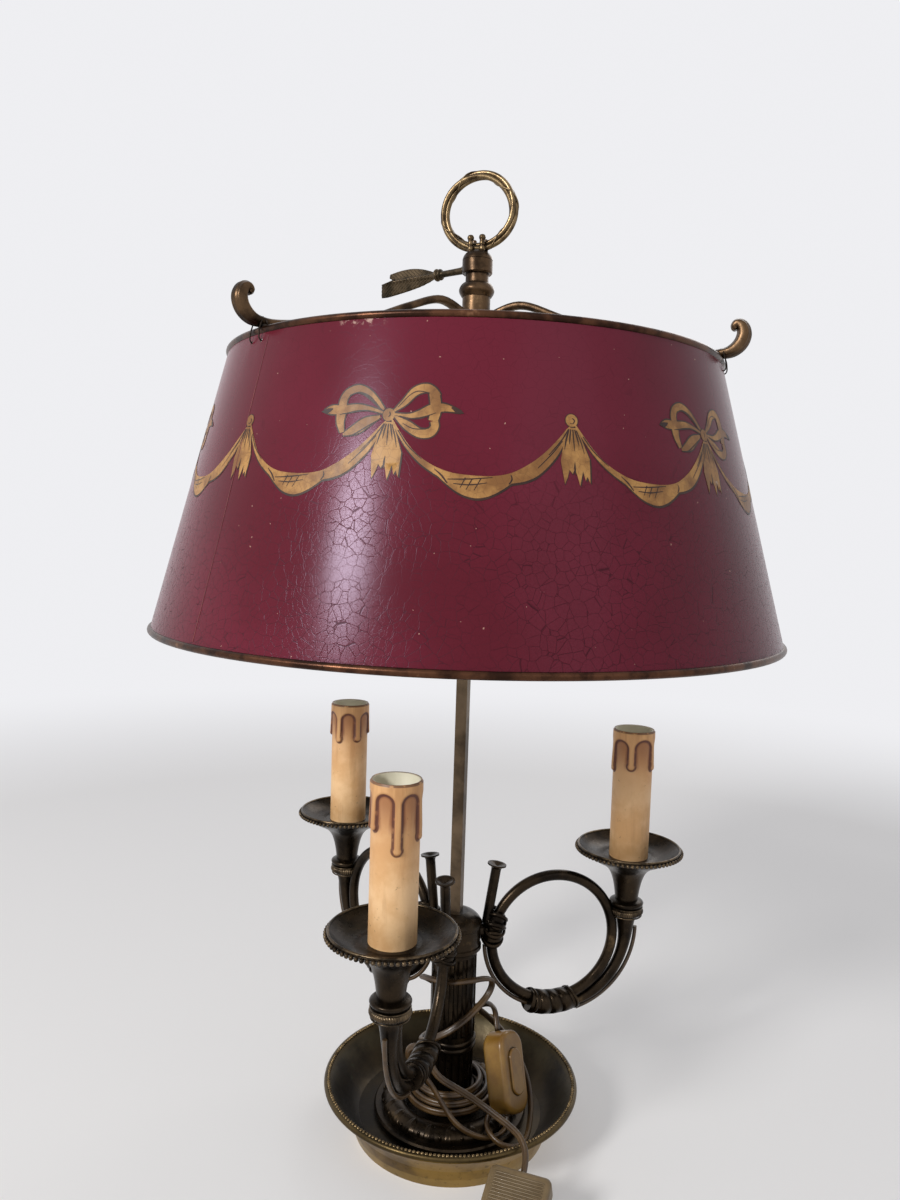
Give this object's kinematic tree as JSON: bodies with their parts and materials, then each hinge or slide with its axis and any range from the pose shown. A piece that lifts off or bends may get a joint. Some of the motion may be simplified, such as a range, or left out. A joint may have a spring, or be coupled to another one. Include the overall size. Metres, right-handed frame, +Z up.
{
  "type": "table lamp",
  "caption": "Candlestick table lamp on a dished base, with hunting-horn candle arms, drip cups and a wide painted metal shade that slides on a square rod and is clamped by a key.",
  "frame": {"origin": "centre of the foot ring on the table", "axes": "+Z up along the column, -Y towards the front horn arm"},
  "size_m": [0.3858, 0.3858, 0.6116],
  "materials": {
    "foot_brass": "aged, satin",
    "dark_bronze": "dark patina, satin",
    "gold_brass": "aged, satin",
    "rod_brass": "aged, dull",
    "copper_brass": "aged, satin",
    "shade_paint": "crackled lacquer, satin",
    "wire": "dull",
    "steel": "dull",
    "holder": "matt",
    "candle": "matt, aged",
    "flex": "satin",
    "switch_plastic": "satin",
    "plug_plastic": "matt",
    "pin_brass": "satin"
  },
  "bodies": {
    "stand": {"base_dish": "foot_brass", "dish_bead_ring": "dark_bronze", "base_washer": "steel", "base_nut": "steel", "leaf_plinth": "dark_bronze", "cord_bush": "holder", "reeded_drum": "dark_bronze", "ring_moulding": "dark_bronze", "column_shaft": "dark_bronze", "capital": "dark_bronze", "tie_rod": "steel", "square_rod": "rod_brass", "ring_handle": "gold_brass", "finial_cap": "gold_brass", "cord_winding": "flex", "cord_to_switch": "flex", "cord_to_plug": "flex", "switch_back": "switch_plastic", "switch_front": "switch_plastic", "plug_body": "plug_plastic", "plug_pins": "pin_brass", "bell_tube_front": "dark_bronze", "horn_loop_front": "dark_bronze", "arm_lead_front": "flex", "ribbon_wrap_front": "dark_bronze", "arm_knot_front": "dark_bronze", "bell_collar_front": "dark_bronze", "drip_cup_front": "dark_bronze", "lampholder_front": "holder", "bell_tube_right": "dark_bronze", "horn_loop_right": "dark_bronze", "arm_lead_right": "flex", "ribbon_wrap_right": "dark_bronze", "arm_knot_right": "dark_bronze", "bell_collar_right": "dark_bronze", "drip_cup_right": "dark_bronze", "lampholder_right": "holder", "bell_tube_left": "dark_bronze", "horn_loop_left": "dark_bronze", "arm_lead_left": "flex", "ribbon_wrap_left": "dark_bronze", "arm_knot_left": "dark_bronze", "bell_collar_left": "dark_bronze", "drip_cup_left": "dark_bronze", "lampholder_left": "holder"},
    "shade_carriage": {"slider_hub": "gold_brass", "scroll_arm_left": "dark_bronze", "scroll_arm_right": "dark_bronze", "scroll_arm_back": "dark_bronze", "shade_shell": "shade_paint", "shade_top_bead": "copper_brass", "shade_bottom_bead": "copper_brass", "tie_wires": "wire"},
    "clamp_key": {"arrow_key": "gold_brass"},
    "switch_button": {"switch_rocker": "switch_plastic"},
    "candle_front": {"candle_sleeve_front": "candle"},
    "candle_right": {"candle_sleeve_right": "candle"},
    "candle_left": {"candle_sleeve_left": "candle"}
  },
  "joints": [
    {"name": "shade_slide", "type": "slide", "parent": "stand", "child": "shade_carriage", "axis": [0, 0, 1], "range_m": [-0.12, 0]},
    {"name": "key_turn", "type": "hinge", "parent": "shade_carriage", "child": "clamp_key", "pos_m": [0, 0, 0.5532], "axis": [-0.9397, 0.342, 0], "range_deg": [0, 180]},
    {"name": "switch_rock", "type": "hinge", "parent": "stand", "child": "switch_button", "pos_m": [0.04418, -0.01122, 0.04943], "axis": [0.4212, 0.8675, -0.2647], "range_deg": [-4, 4]},
    {"name": "candle_lift_front", "type": "slide", "parent": "stand", "child": "candle_front", "axis": [0, 0, 1], "range_m": [0, 0.06]},
    {"name": "candle_lift_right", "type": "slide", "parent": "stand", "child": "candle_right", "axis": [0, 0, 1], "range_m": [0, 0.06]},
    {"name": "candle_lift_left", "type": "slide", "parent": "stand", "child": "candle_left", "axis": [0, 0, 1], "range_m": [0, 0.06]}
  ]
}
